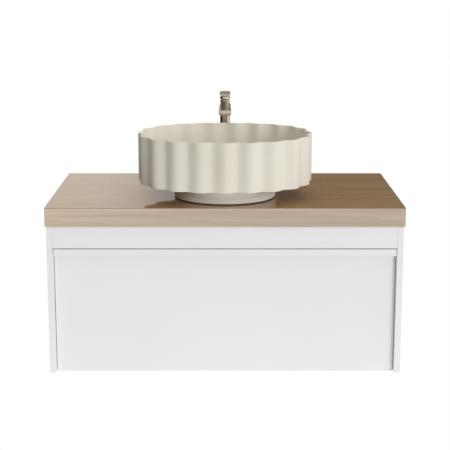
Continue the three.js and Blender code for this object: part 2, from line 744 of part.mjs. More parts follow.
// Ball runners: a channel on the side panel, a middle member and a channel on the drawer, nested.
function buildRunners() {
  const height = drawerBase + runner.aboveDrawerBottom;
  const group = groupAt(0, -runner.fromWall - runner.length, height);
  const g = runner.gauge;

  // Sections of [distance from the side panel, height] points.
  const channel = (half, web, edge) => {
    const inner = web + Math.sign(edge - web) * g;
    return [
      [web, -half], [edge, -half], [edge, -half + g], [inner, -half + g],
      [inner, half - g], [edge, half - g], [edge, half], [web, half],
    ];
  };
  const beam = (half, start, web, edge) => [
    [start, -half], [edge, -half], [edge, -half + g], [web + g, -half + g],
    [web + g, half - g], [edge, half - g], [edge, half], [start, half],
    [start, half - g], [web, half - g], [web, -half + g], [start, -half + g],
  ];
  const sections = {
    cabinet: channel(runner.height / 2, GAP, 9),
    middle: beam(18, 2.2, 5.2, 9.8),
    drawer: channel(12, runner.width, 7.6).reverse(),
  };
  for (const [name, side] of [['left', -1], ['right', 1]]) {
    for (const [member, section] of Object.entries(sections)) {
      const points = section.map(([x, z]) => [side * (innerX - x), z]);
      piece(group, `${name}_runner_${member}`, 'steel', sectionAlongY(points, 0, runner.length));
    }
  }
  return group;
}

// ---------------------------------------------------------------- the whole

const vanity = new THREE.Group();
vanity.name = 'vessel_sink_on_vanity';
vanity.add(
  buildWorktop(),
  buildCabinet(),
  buildWallHangers(),
  buildBasin(),
  buildWaste(),
  buildTrap(),
  buildTapBody(),
  buildTapFixing(),
  buildTapLever(),
  buildDrawer(),
  buildRunners(),
);

export default vanity;
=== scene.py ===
"""A vessel sink on a wall-hung vanity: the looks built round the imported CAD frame.

Metres, +X to the right, +Z up, the wall at Y = 0 and the front facing -Y, as in the CAD model.
A replaced piece takes its outer size from the box of its CAD node. A turned profile is a list of
(radius, height) pairs, and a basin level is given in millimetres.
"""

import json
import math

import bmesh
import bpy
import numpy as np
from mathutils import Matrix, Vector

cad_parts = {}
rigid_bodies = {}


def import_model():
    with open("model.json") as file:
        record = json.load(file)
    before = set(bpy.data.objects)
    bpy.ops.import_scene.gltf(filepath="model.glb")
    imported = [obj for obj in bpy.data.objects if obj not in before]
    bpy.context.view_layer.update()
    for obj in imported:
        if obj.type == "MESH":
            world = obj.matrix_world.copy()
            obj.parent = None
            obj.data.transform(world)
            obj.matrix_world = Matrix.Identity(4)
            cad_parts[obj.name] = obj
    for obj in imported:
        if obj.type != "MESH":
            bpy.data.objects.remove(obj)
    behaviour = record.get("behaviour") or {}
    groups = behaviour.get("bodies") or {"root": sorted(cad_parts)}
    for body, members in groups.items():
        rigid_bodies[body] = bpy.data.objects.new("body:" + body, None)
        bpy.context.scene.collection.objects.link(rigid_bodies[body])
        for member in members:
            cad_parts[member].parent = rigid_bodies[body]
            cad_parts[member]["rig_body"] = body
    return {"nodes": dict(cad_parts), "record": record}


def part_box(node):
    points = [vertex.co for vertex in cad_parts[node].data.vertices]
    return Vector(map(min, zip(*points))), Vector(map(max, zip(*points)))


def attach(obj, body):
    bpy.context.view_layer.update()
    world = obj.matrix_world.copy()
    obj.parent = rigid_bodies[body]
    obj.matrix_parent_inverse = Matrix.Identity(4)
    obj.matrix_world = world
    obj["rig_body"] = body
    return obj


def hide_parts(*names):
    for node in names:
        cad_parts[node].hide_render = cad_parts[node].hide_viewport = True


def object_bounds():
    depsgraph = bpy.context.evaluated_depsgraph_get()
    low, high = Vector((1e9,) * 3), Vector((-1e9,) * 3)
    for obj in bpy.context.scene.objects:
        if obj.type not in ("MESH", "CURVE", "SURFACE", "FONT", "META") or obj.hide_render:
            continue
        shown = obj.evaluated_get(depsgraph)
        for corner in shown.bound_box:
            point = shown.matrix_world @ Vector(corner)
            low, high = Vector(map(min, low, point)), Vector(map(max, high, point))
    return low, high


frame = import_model()
cad_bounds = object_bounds()
cad = frame["nodes"]
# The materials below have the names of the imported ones, which step aside.
for imported in list(bpy.data.materials):
    imported.name = "packed_" + imported.name


def low(node):
    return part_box(node)[0]


def high(node):
    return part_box(node)[1]


def middle(node):
    return (low(node) + high(node)) / 2


MM = 0.001
GAP = 0.3 * MM           # between a bore and what goes through it
SLIVER = 0.02 * MM       # points closer than this after a cut become one
FOOT_TOP = 44 * MM       # above the deck, where the basin's foot meets the bowl
HALF_WIDTH = cad_bounds[1][0]
DECK = high("worktop_core").z
UNDER = low("worktop_core").z
# Both stand at X = 0, so the highest X of a round piece on their axes is its radius.
BASIN_AT = middle("basin")
TAP_AT = middle("tap_column")


# ---------------------------------------------------------------- material nodes

NOISE_RANGE = (0.3, 0.7)


class Tree:
    """A node tree with short calls for the nodes that the materials use."""

    def __init__(self, owner):
        self.owner = owner
        owner.use_nodes = True
        self.nodes = owner.node_tree.nodes
        self.links = owner.node_tree.links
        self.nodes.clear()
        self.coords = None

    def node(self, kind, inputs=None, **settings):
        made = self.nodes.new(kind)
        for name, value in settings.items():
            setattr(made, name, value)
        for socket, value in (inputs or {}).items():
            if isinstance(value, bpy.types.NodeSocket):
                self.links.new(value, made.inputs[socket])
            else:
                made.inputs[socket].default_value = value
        return made

    def place(self, scale=(1, 1, 1), offset=(0, 0, 0)):
        """The piece's own coordinates in metres, scaled and moved."""
        coords = self.coords or self.node("ShaderNodeTexCoord").outputs["Object"]
        inputs = {"Vector": coords, "Location": offset, "Scale": scale}
        return self.node("ShaderNodeMapping", inputs).outputs[0]

    def turn_on_ends(self):
        """Swaps X and Y on faces that look along X, so that a grain along X turns the corner."""
        source = self.node("ShaderNodeTexCoord").outputs
        x, y, z = self.node("ShaderNodeSeparateXYZ", {0: source["Object"]}).outputs
        facing = self.node("ShaderNodeSeparateXYZ", {0: source["Normal"]}).outputs["X"]
        on_end = self.math("GREATER_THAN", self.math("ABSOLUTE", facing), 0.7)
        swapped = self.node("ShaderNodeCombineXYZ", {0: y, 1: x, 2: z}).outputs[0]
        self.coords = self.node("ShaderNodeMix", {0: on_end, 4: source["Object"], 5: swapped},
                                data_type="VECTOR").outputs[1]

    def noise(self, vector, scale, detail=3.0, roughness=0.5):
        inputs = {"Vector": vector, "Scale": scale, "Detail": detail, "Roughness": roughness}
        return self.node("ShaderNodeTexNoise", inputs).outputs["Fac"]

    def remap(self, value, from_low, from_high, to_low, to_high, smooth=False):
        inputs = {"Value": value, "From Min": from_low, "From Max": from_high, "To Min": to_low,
                  "To Max": to_high}
        kind = "SMOOTHSTEP" if smooth else "LINEAR"
        return self.node("ShaderNodeMapRange", inputs, interpolation_type=kind).outputs["Result"]

    def spread(self, noise, to_low, to_high):
        """Remaps the range that a noise mostly keeps to."""
        return self.remap(noise, *NOISE_RANGE, to_low, to_high)

    def math(self, operation, first, second=0.0):
        return self.node("ShaderNodeMath", {0: first, 1: second}, operation=operation).outputs[0]

    def mix(self, factor, first, second, blend="MIX"):
        return self.node("ShaderNodeMix", {0: factor, 6: first, 7: second}, data_type="RGBA",
                         blend_type=blend).outputs[2]

    def bump(self, height, depth, strength, normal=None):
        inputs = {"Height": height, "Distance": depth, "Strength": strength}
        if normal is not None:
            inputs["Normal"] = normal
        return self.node("ShaderNodeBump", inputs).outputs["Normal"]


def rgb(red, green, blue):
    return (red, green, blue, 1.0)


def start(name):
    return Tree(bpy.data.materials.new(name))


def principled(tree, base, roughness, normal, **sockets):
    """Closes a material's tree. Colours and roughness may be sockets."""
    inputs = {"Base Color": base, "Roughness": roughness, "Normal": normal, **sockets}
    shader = tree.node("ShaderNodeBsdfPrincipled", inputs)
    tree.node("ShaderNodeOutputMaterial", {"Surface": shader.outputs[0]})
    return tree.owner


# ---------------------------------------------------------------- materials

def oak(name, pale, mid, dark, roughness, ring_spacing, drift, edge_painted_light=None):
    """Oak with its grain along X: growth rings, long fibres, short dark pores and slow tones.

    The rings wander by drift. An edge band is given its brightness at the bottom and the top: painted
    shade low down and painted light high up, and a painted reflection that brightens its left end.
    Its grain also turns the corners, and a dark glue line runs along its upper edge.
    """
    tree = start(name)
    if edge_painted_light:
        tree.turn_on_ends()
    wander = tree.noise(tree.place((0.8, 4.5, 4.5)), 1.0, 3)
    shift = tree.node("ShaderNodeCombineXYZ", {1: tree.spread(wander, -drift, drift)}).outputs[0]
    bent = tree.node("ShaderNodeVectorMath", {0: tree.place(), 1: shift},
                     operation="ADD").outputs[0]
    stretched = tree.node("ShaderNodeMapping", {"Vector": bent, "Scale": (0.05, 1, 1)}).outputs[0]
    rings = tree.node("ShaderNodeTexWave", {
        "Vector": stretched, "Scale": 1 / (ring_spacing * 2 * math.pi), "Distortion": 4.0,
        "Detail": 2.0, "Detail Scale": 16.0, "Detail Roughness": 0.55,
    }, wave_type="BANDS", bands_direction="DIAGONAL", wave_profile="SAW").outputs["Fac"]
    streaks = tree.noise(tree.place((0.9, 75, 75), (4, 1, 6)), 1.0, 3, 0.6)
    fibres = tree.noise(tree.place((9, 700, 700)), 1.0, 4, 0.65)
    specks = tree.noise(tree.place((55, 1500, 1500), (3, 5, 7)), 1.0, 2)
    pores = tree.remap(specks, 0.60, 0.72, 0, 1)
    tone = tree.noise(tree.place((1.3, 9, 9), (1, 2, 3)), 1.0, 2)

    colour = tree.mix(tree.remap(rings, 0.1, 0.95, 0, 0.8), pale, mid)
    colour = tree.mix(tree.remap(streaks, 0.45, 0.72, 0, 0.5, smooth=True), colour, dark)
    colour = tree.mix(tree.remap(fibres, 0.35, 0.75, 0, 0.45), colour, dark)
    colour = tree.mix(tree.math("MULTIPLY", pores, 0.4), colour, dark)
    lift = tree.remap(tone, 0.25, 0.75, 0.90, 1.09)
    if edge_painted_light:
        x, _, z = tree.node("ShaderNodeSeparateXYZ", {0: tree.place()}).outputs
        # Painted light on the edge band: painted shade at the bottom and painted light at the top,
        # then a painted reflection that is brighter at the left end than the right.
        lift = tree.math("MULTIPLY", lift, tree.remap(z, UNDER, DECK, *edge_painted_light))
        lift = tree.math("MULTIPLY", lift, tree.remap(x, -HALF_WIDTH, HALF_WIDTH, 1.06, 0.95))
        glue_line = tree.remap(z, DECK - 2.2 * MM, DECK - 1.0 * MM, 0, 0.7, smooth=True)
        colour = tree.mix(glue_line, colour, rgb(0.17, 0.11, 0.065))
    tone_and_painted_light = tree.node("ShaderNodeCombineColor", {0: lift, 1: lift, 2: lift}).outputs[0]
    colour = tree.mix(1.0, colour, tone_and_painted_light, "MULTIPLY")
    gloss = tree.spread(fibres, roughness * 0.85, roughness * 1.2)
    relief = tree.math("SUBTRACT", tree.math("MULTIPLY", fibres, 0.5), pores)
    return principled(tree, colour, gloss, tree.bump(relief, 0.03 * MM, 0.5), IOR=1.5)


def white_lacquer():
    """Sprayed satin lacquer: a faint orange peel over almost even white."""
    tree = start("white_lacquer")
    cloud = tree.noise(tree.place(), 3.0, 2)
    peel = tree.noise(tree.place(), 420.0, 2, 0.45)
    swell = tree.noise(tree.place(offset=(9, 4, 2)), 60.0, 2)
    base = tree.mix(tree.spread(cloud, 0, 1), rgb(0.818, 0.822, 0.830), rgb(0.838, 0.842, 0.850))
    normal = tree.bump(peel, 0.04 * MM, 0.35, tree.bump(swell, 0.2 * MM, 0.12))
    return principled(tree, base, tree.spread(cloud, 0.36, 0.44), normal, IOR=1.45)


def ivory_ceramic():
    """Matt glazed stoneware: warm ivory with a fine grain, and painted light that makes the foot
    paler against the shade under the bowl.
    """
    tree = start("ivory_ceramic")
    cloud = tree.noise(tree.place(offset=(2, 7, 1)), 7.0, 4, 0.6)
    grain = tree.noise(tree.place(), 900.0, 3, 0.6)
    specks = tree.remap(tree.noise(tree.place(offset=(5, 5, 5)), 1400.0, 1), 0.70, 0.78, 0, 0.25)
    base = tree.mix(tree.spread(cloud, 0, 1), rgb(0.735, 0.695, 0.592), rgb(0.775, 0.740, 0.652))
    base = tree.mix(specks, base, rgb(0.60, 0.53, 0.42))
    height = tree.node("ShaderNodeSeparateXYZ", {0: tree.place()}).outputs[2]
    # Painted light: the foot is painted paler to stand in for light under the bowl's overhang.
    painted_foot_light = tree.remap(height, FOOT_TOP - 4 * MM, FOOT_TOP, 0.8, 0.0, smooth=True)
    base = tree.mix(painted_foot_light, base, rgb(0.90, 0.87, 0.79))
    normal = tree.bump(grain, 0.03 * MM, 0.5, tree.bump(cloud, 0.6 * MM, 0.1))
    return principled(tree, base, tree.spread(cloud, 0.46, 0.56), normal, IOR=1.48)


def brushed_nickel():
    """Warm nickel, brushed up the column and along the spout and the lever."""
    tree = start("brushed_nickel")
    marks = tree.noise(tree.place((2600, 60, 60)), 1.0, 3, 0.7)
    fine = tree.noise(tree.place((6000, 140, 140), (4, 4, 4)), 1.0, 2, 0.6)
    cloud = tree.noise(tree.place(), 18.0, 2)
    base = tree.mix(tree.spread(marks, 0, 1), rgb(0.50, 0.430, 0.360), rgb(0.60, 0.525, 0.445))
    rough = tree.math("ADD", tree.remap(marks, 0.25, 0.75, 0.12, 0.18),
                      tree.spread(cloud, -0.02, 0.03))
    normal = tree.bump(tree.math("ADD", marks, fine), 0.012 * MM, 0.5)
    return principled(tree, base, rough, normal, Metallic=1.0)


def chrome():
    """Polished chrome with faint water marks and a slight waviness."""
    tree = start("chrome")
    film = tree.noise(tree.place(), 45.0, 4, 0.6)
    wave = tree.noise(tree.place(offset=(3, 3, 3)), 25.0, 1)
    base = tree.mix(tree.remap(film, 0.35, 0.75, 0, 1), rgb(0.86, 0.87, 0.88),
                    rgb(0.78, 0.79, 0.80))
    rough = tree.remap(film, 0.3, 0.75, 0.06, 0.16)
    return principled(tree, base, rough, tree.bump(wave, 0.2 * MM, 0.08), Metallic=1.0)


def plated_steel(name, light, dark, cell, rough):
    """Zinc-coated steel: crystals of slightly different brightness over a rolled surface."""
    tree = start(name)
    cells = tree.node("ShaderNodeTexVoronoi", {"Vector": tree.place(), "Scale": 1 / cell})
    shade = tree.node("ShaderNodeSeparateColor", {0: cells.outputs["Color"]}).outputs[0]
    rolled = tree.noise(tree.place((30, 30, 900)), 1.0, 3)
    return principled(tree, tree.mix(shade, light, dark), tree.remap(shade, 0, 1, *rough),
                      tree.bump(rolled, 0.02 * MM, 0.3), Metallic=1.0)


def moulded(name, light, dark, rough, grain_scale, depth):
    """Moulded plastic, rubber or silicone: an even colour with a fine texture."""
    tree = start(name)
    cloud = tree.noise(tree.place(), 60.0, 3)
    grain = tree.noise(tree.place(), grain_scale, 3, 0.6)
    base = tree.mix(tree.spread(cloud, 0, 1), light, dark)
    return principled(tree, base, tree.spread(cloud, *rough), tree.bump(grain, depth, 0.4))


def drawer_board():
    """Melamine board with a printed and embossed linen look."""
    tree = start("drawer_board")
    warp = tree.noise(tree.place((1500, 40, 1500)), 1.0, 2, 0.6)
    weft = tree.noise(tree.place((40, 1500, 40), (6, 1, 3)), 1.0, 2, 0.6)
    cloud = tree.noise(tree.place(), 9.0, 2)
    threads = tree.math("MULTIPLY", tree.math("ADD", warp, weft), 0.5)
    base = tree.mix(tree.remap(threads, 0.35, 0.65, 0, 1), rgb(0.50, 0.47, 0.43),
                    rgb(0.68, 0.655, 0.615))
    base = tree.mix(tree.spread(cloud, 0, 0.12), base, rgb(0.74, 0.70, 0.64))
    normal = tree.bump(threads, 0.06 * MM, 0.6)
    return principled(tree, base, tree.spread(threads, 0.62, 0.5), normal)


materials = {
    "oak_top": oak(
        "oak_top", rgb(0.46, 0.298, 0.148), rgb(0.355, 0.221, 0.104), rgb(0.215, 0.124, 0.052),
        roughness=0.03, ring_spacing=8 * MM, drift=30 * MM),
    "oak_edge": oak(
        "oak_edge", rgb(0.63, 0.52, 0.41), rgb(0.55, 0.44, 0.335), rgb(0.39, 0.29, 0.205),
        roughness=0.30, ring_spacing=10 * MM, drift=30 * MM, edge_painted_light=(0.90, 1.07)),
    "white_lacquer": white_lacquer(),
    "ivory_ceramic": ivory_ceramic(),
    "sealant": moulded(
        "sealant", rgb(0.030, 0.026, 0.022), rgb(0.045, 0.039, 0.032),
        rough=(0.55, 0.7), grain_scale=700, depth=0.04 * MM),
    "chrome": chrome(),
    "brushed_nickel": brushed_nickel(),
    "black_rubber": moulded(
        "black_rubber", rgb(0.018, 0.018, 0.019), rgb(0.03, 0.03, 0.031),
        rough=(0.6, 0.8), grain_scale=1200, depth=0.05 * MM),
    "white_plastic": moulded(
        "white_plastic", rgb(0.80, 0.80, 0.78), rgb(0.74, 0.74, 0.72),
        rough=(0.35, 0.45), grain_scale=1500, depth=0.02 * MM),
    "zinc_plate": plated_steel(
        "zinc_plate", rgb(0.62, 0.63, 0.65), rgb(0.50, 0.51, 0.53),
        cell=4 * MM, rough=(0.28, 0.40)),
    "runner_steel": plated_steel(
        "runner_steel", rgb(0.60, 0.61, 0.62), rgb(0.48, 0.49, 0.50),
        cell=9 * MM, rough=(0.26, 0.42)),
    "drawer_board": drawer_board(),
}
slot_of = {part["node"]: part["material_slot"] for part in frame["record"]["subparts"]}


# ---------------------------------------------------------------- mesh helpers

def smooth_piece(obj, angle=35):
    """Smooth shading that keeps real edges sharp and flat faces flat."""
    obj.data.shade_smooth()
    obj.data.set_sharp_from_angle(angle=math.radians(angle))
    weighted = obj.modifiers.new("weighted_normals", "WEIGHTED_NORMAL")
    weighted.keep_sharp = True
    return obj


def new_object(name, mesh_builder, at=(0, 0, 0)):
    mesh = bpy.data.meshes.new(name)
    mesh_builder.normal_update()
    mesh_builder.to_mesh(mesh)
    mesh_builder.free()
    mesh.transform(Matrix.Translation(at))
    obj = bpy.data.objects.new(name, mesh)
    bpy.context.scene.collection.objects.link(obj)
    return obj


def stands_for(obj, node):
    """Gives a finished piece its material, its body and the CAD node that it replaces."""
    obj.data.materials.clear()
    obj.data.materials.append(materials[slot_of[node]])
    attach(obj, cad[node]["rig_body"])
    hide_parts(node)
    return obj


def swept(name, rings, closed=True, at=(0, 0, 0)):
    """A skin over rings of equal length. A ring of one point is a pole.

    closed joins the last ring to the first.
    """
    build = bmesh.new()
    rows = [[build.verts.new(point) for point in ring] for ring in rings]
    pairs = list(zip(rows, rows[1:])) + ([(rows[-1], rows[0])] if closed else [])
    for lower, upper in pairs:
        count = max(len(lower), len(upper))
        for i in range(count):
            j = (i + 1) % count
            corners = [lower[i % len(lower)], lower[j % len(lower)],
                       upper[j % len(upper)], upper[i % len(upper)]]
            face = list(dict.fromkeys(corners))
            if len(face) > 2:
                build.faces.new(face)
    bmesh.ops.recalc_face_normals(build, faces=build.faces)
    return new_object(name, build, at)


def rounded(points, radius, steps=4, closed=True):
    """A path with its corners rounded off. radius is one number or one for each corner."""
    points = [np.array(point, float) for point in points]
    count = len(points)
    radii = [radius] * count if np.isscalar(radius) else radius
    most_of_a_side = 0.48
    path = []
    for i, corner in enumerate(points):
        at_end = not closed and i in (0, count - 1)
        if radii[i] == 0 or at_end:
            path.append(corner)
            continue
        before, after = points[i - 1] - corner, points[(i + 1) % count] - corner
        reach = [min(radii[i] / np.linalg.norm(side), most_of_a_side) for side in (before, after)]
        first, last = corner + before * reach[0], corner + after * reach[1]
        for t in np.linspace(0, 1, steps + 1):
            path.append((1 - t) ** 2 * first + 2 * t * (1 - t) * corner + t * t * last)
    return path


def circle_points(radius, height, segments):
    """A level circle, or a single point where the radius is nothing."""
    if radius < SLIVER / 100:
        return [(0.0, 0.0, height)]
    angles = np.arange(segments) * 2 * math.pi / segments
    return [(radius * math.cos(a), radius * math.sin(a), height) for a in angles]


def lay_along(rings, axis):
    """Turns rings round the Z axis so that they go round the X or the Y axis."""
    if axis == "x":
        return [[(z, y, -x) for x, y, z in ring] for ring in rings]
    if axis == "y":
        return [[(x, z, -y) for x, y, z in ring] for ring in rings]
    return rings


def turned(name, profile, at, corner=0.6 * MM, segments=96, axis="z", closed=True):
    """A turned piece from a profile whose corners are rounded off."""
    rings = [circle_points(radius, height, segments)
             for radius, height in rounded(profile, corner, closed=closed)]
    return smooth_piece(swept(name, lay_along(rings, axis), closed, at))


def turned_for(node, name, profile, at, **shape):
    """A turned piece in the place of its CAD node."""
    return stands_for(turned(name, profile, at, **shape), node)


def tube_profile(outer, inner, bottom, top):
    return [(inner, bottom), (outer, bottom), (outer, top), (inner, top)]


def box_outline(left, right, front, back):
    return [(left, front), (right, front), (right, back), (left, back)]


def inset_rings(outline, bottom, top, edge, low_edge, steps=6):
    """Rings up a plate whose upper and lower edges are rounded. The outline runs anticlockwise."""
    points = np.array(outline, float)
    forward = np.roll(points, -1, 0) - points
    lengths = np.linalg.norm(forward, axis=1, keepdims=True)
    normals = np.stack([forward[:, 1], -forward[:, 0]], 1) / np.maximum(lengths, 1e-9)
    corner = normals + np.roll(normals, 1, 0)
    corner /= np.maximum((corner * normals).sum(1, keepdims=True), 1e-3)
    turns = np.linspace(0, math.pi / 2, steps + 1)
    rings = []
    for up, level, size, angles in ((1, bottom, low_edge, turns), (-1, top, edge, turns[::-1])):
        for a in angles:
            moved = points - corner * size * (1 - math.sin(a))
            height = level + up * size * (1 - math.cos(a))
            rings.append([(x, y, height) for x, y in moved])
    return rings


def plate(name, outline, bottom, top, edge, at=(0, 0, 0), low_edge=None):
    """A solid plate with rounded edges and flat upper and lower faces."""
    rings = inset_rings(outline, bottom, top, edge, low_edge or edge)
    build = bmesh.new()
    rows = [[build.verts.new(point) for point in ring] for ring in rings]
    for lower, upper in zip(rows, rows[1:]):
        for i in range(len(lower)):
            j = (i + 1) % len(lower)
            build.faces.new([lower[i], lower[j], upper[j], upper[i]])
    build.faces.new(rows[0][::-1])
    build.faces.new(rows[-1])
    return new_object(name, build, at)


def cylinder(radius, bottom, top, at, segments=64, axis="z"):
    """A plain tool for cutting and joining; it never stays in the scene."""
    rings = [circle_points(0, bottom, segments), circle_points(radius, bottom, segments),
             circle_points(radius, top, segments), circle_points(0, top, segments)]
    return swept("tool", lay_along(rings, axis), False, at)


def combine(obj, other, operation):
    """Cuts the other object out of this one, or joins it, and removes it."""
    obj.modifiers.clear()
    other.modifiers.clear()
    cutter = obj.modifiers.new("combine", "BOOLEAN")
    cutter.operation = operation
    cutter.object = other
    cutter.solver = "EXACT"
    evaluated = obj.evaluated_get(bpy.context.evaluated_depsgraph_get())
    mesh = bpy.data.meshes.new_from_object(evaluated)
    build = bmesh.new()
    build.from_mesh(mesh)
    bmesh.ops.remove_doubles(build, verts=build.verts, dist=SLIVER)
    bmesh.ops.dissolve_degenerate(build, edges=build.edges, dist=SLIVER)
    build.to_mesh(mesh)
    build.free()
    obj.modifiers.clear()
    obj.data = mesh
    bpy.data.objects.remove(other)
    return obj


def merge(obj, other):
    """Adds the other object's mesh to this one as a separate shell, and removes it."""
    build = bmesh.new()
    build.from_mesh(obj.data)
    build.from_mesh(other.data)
    build.to_mesh(obj.data)
    build.free()
    bpy.data.objects.remove(other)


def hex_nut(name, node, bore, at, axis="z"):
    """A hexagonal nut, turned down to a cone at both ends, with a chamfered bore."""
    lowest, highest = low(node), high(node)
    along = "xyz".index(axis)
    bottom, top = lowest[along] - at[along], highest[along] - at[along]
    corner = (highest.x - lowest.x) / 2
    flat = corner * math.cos(math.pi / 6)
    face = flat * 0.985
    chamfer = (corner - flat) * 0.62
    lead = 0.6 * MM
    around = 6 * 16
    angles = np.arange(around) * 2 * math.pi / around
    hexagon = [flat / math.cos((a + math.pi / 6) % (math.pi / 3) - math.pi / 6) for a in angles]

    def ring(limit, height):
        return [(min(r, limit) * math.cos(a), min(r, limit) * math.sin(a), height)
                for r, a in zip(hexagon, angles)]

    rise = np.linspace(0, 1, 7)
    up = [ring(face + (corner - face) * t, bottom + chamfer * t) for t in rise]
    down = [ring(face + (corner - face) * t, top - chamfer * t) for t in rise[::-1]]
    inside = [circle_points(radius, height, around) for radius, height in (
        (bore + lead, top), (bore, top - lead), (bore, bottom + lead), (bore + lead, bottom))]
    rings = lay_along(up + down + inside, axis)
    return stands_for(smooth_piece(swept(name, rings, True, at), 25), node)


def threaded(name, outer, inner, bottom, top, pitch, at):
    """A tube with a fine thread shape on its outside, as rings."""
    count = int((top - bottom - 4 * pitch) / pitch)
    root = outer - 0.5 * MM
    flank = []
    for i in range(count):
        level = bottom + pitch + i * pitch
        flank += [(root, level), (outer, level + pitch * 0.4), (outer, level + pitch * 0.55)]
    profile = [(inner, bottom), (root, bottom), *flank, (root, bottom + pitch * (count + 1)),
               (outer, top - pitch), (outer, top), (inner, top)]
    rings = [circle_points(radius, height, 96) for radius, height in profile]
    return smooth_piece(swept(name, rings, True, at), 25)


def soften(node, width):
    """Takes the sharpness off a CAD node's edges; its mesh and its size stay."""
    obj = cad[node]
    weld = obj.modifiers.new("weld", "WELD")
    weld.merge_threshold = 0.01 * MM
    bevel = obj.modifiers.new("edge", "BEVEL")
    bevel.width = width
    bevel.segments = 2
    bevel.limit_method = "ANGLE"
    bevel.angle_limit = math.radians(40)
    bevel.harden_normals = False
    obj.data.shade_flat()


def paint(node):
    """Gives a CAD node the material of its slot."""
    obj = cad[node]
    if not obj.data.materials:
        obj.data.materials.append(None)
    for place in obj.material_slots:
        place.material = materials[slot_of[node]]


# ---------------------------------------------------------------- basin

FLUTES = 20
FLUTE_REACH = 5 * MM     # how far a flute goes out of and into the wall's mean outline
FLUTE_SHARPNESS = 0.85
SQUARENESS = 2.27
STATIONS = 16 * FLUTES
BASIN_SIZE = (high("basin") - low("basin")) / 2
SEMI_X = BASIN_SIZE.x - FLUTE_REACH
SEMI_Y = BASIN_SIZE.y - FLUTE_REACH
RIM = high("basin").z - DECK
FOOT_BASE = low("basin").z - DECK


def superellipse(angles, semi_x, semi_y, squareness):
    power = 2 / squareness
    c, s = np.cos(angles), np.sin(angles)
    return np.stack([semi_x * np.sign(c) * np.abs(c) ** power,
                     semi_y * np.sign(s) * np.abs(s) ** power], 1)


def outline_angles():
    """The angles that divide the wall's mean outline into equal lengths."""
    fine = np.linspace(0, 2 * math.pi, 200 * STATIONS + 1)
    points = superellipse(fine, SEMI_X, SEMI_Y, SQUARENESS)
    steps = np.linalg.norm(np.diff(points, axis=0), axis=1)
    lengths = np.concatenate([[0], np.cumsum(steps)])
    return np.interp(np.arange(STATIONS) * lengths[-1] / STATIONS, lengths, fine)


ANGLES = outline_angles()


def basin_ring(semi_x, semi_y, squareness, flute, height):
    """One level of the basin: an oval whose flutes swell by a share of their full reach."""
    points = superellipse(ANGLES, semi_x, semi_y, squareness)
    steep = squareness - 1
    normals = np.stack([
        np.sign(points[:, 0]) * np.abs(points[:, 0] / semi_x) ** steep / semi_x,
        np.sign(points[:, 1]) * np.abs(points[:, 1] / semi_y) ** steep / semi_y,
    ], 1)
    normals /= np.linalg.norm(normals, axis=1, keepdims=True)
    crest = (1 + np.cos(2 * math.pi * FLUTES * np.arange(STATIONS) / STATIONS)) / 2
    swell = flute * FLUTE_REACH * (2 * crest ** FLUTE_SHARPNESS - 1)
    points = points + normals * swell[:, None]
    return [(x, y, height) for x, y in points]


def wall_level(inset, height, flute=1.0):
    """A level inside the wall's mean outline, in millimetres above the deck."""
    return (SEMI_X - inset * MM, SEMI_Y - inset * MM, SQUARENESS, flute, height * MM)


def oval_level(semi_x, semi_y, height):
    """A plain elliptical level, in millimetres above the deck."""
    return (semi_x * MM, semi_y * MM, 2.0, 0.0, height * MM)


def curve_through(levels, steps):
    """A smooth run through levels, by Catmull and Rom's curve."""
    levels = [np.array(level) for level in levels]
    ends = [2 * levels[0] - levels[1], *levels, 2 * levels[-1] - levels[-2]]
    run = []
    for a, b, c, d in zip(ends, ends[1:], ends[2:], ends[3:]):
        for t in np.arange(steps) / steps:
            run.append(0.5 * (2 * b + (c - a) * t + (2 * a - 5 * b + 4 * c - d) * t ** 2
                              + (3 * b - a - 3 * c + d) * t ** 3))
    return [*run, levels[-1]]


BASIN_CENTRE = (BASIN_AT.x, BASIN_AT.y, DECK)


def make_basin():
    """The shell, from three runs that go round its section: outside, bowl, and drain with foot."""
    rim, base = RIM / MM, FOOT_BASE / MM
    foot_joint = oval_level(152, 136, FOOT_TOP / MM)
    inner_wall = wall_level(6.6, 140)
    drain_edge = oval_level(36, 36, 55.2)
    recess, flange_seat, drain = 33.5, 52, 23
    outside = rounded([
        foot_joint, wall_level(1, 46.9), wall_level(0, 50), wall_level(0, rim - 40),
        wall_level(0, rim), wall_level(5, rim), inner_wall,
    ], [0, 1.6 * MM, 0, 0, 1.6 * MM, 1.6 * MM, 0], 6, closed=False)
    bowl = curve_through([
        inner_wall, wall_level(7.2, 118), wall_level(11, 90, 0.85), wall_level(26, 70, 0.4),
        wall_level(58, 61, 0), oval_level(120, 88, 57.5), oval_level(70, 58, 56), drain_edge,
    ], 7)
    drain_and_foot = rounded([
        drain_edge, oval_level(34, 34, 55), oval_level(recess, recess, flange_seat),
        oval_level(drain, drain, flange_seat), oval_level(drain, drain, 39),
        oval_level(128, 112, 41), oval_level(140, 124, 34), oval_level(133, 117, base),
        oval_level(142.6, 126.6, base), oval_level(145.4, 129.4, base + 1.9), foot_joint,
    ], [size * MM for size in (0, 1, 1, 1, 1, 4, 6, 1, 0.3, 0.6, 0)], closed=False)
    rings = [basin_ring(*level) for level in (*outside, *bowl[1:], *drain_and_foot[1:-1])]
    shell = swept("fluted_basin", rings, at=BASIN_CENTRE)
    stands_for(smooth_piece(shell, 40), "basin")


def make_basin_seal():
    """The bead between the foot and the worktop, which shows a little round the foot."""
    bottom = (low("basin_seal").z - DECK) / MM
    bead = [(135, 119, 0), (145.2, 129.2, 0), (145.5, 129.5, 1.2), (145.2, 129.2, 3.1),
            (142.7, 126.7, 1.3), (135, 119, 1.3)]
    rings = [basin_ring(*oval_level(semi_x, semi_y, bottom + height))
             for semi_x, semi_y, height in bead]
    seal = swept("foot_seal_bead", rings, at=BASIN_CENTRE)
    stands_for(smooth_piece(seal, 40), "basin_seal")


# ---------------------------------------------------------------- waste and trap

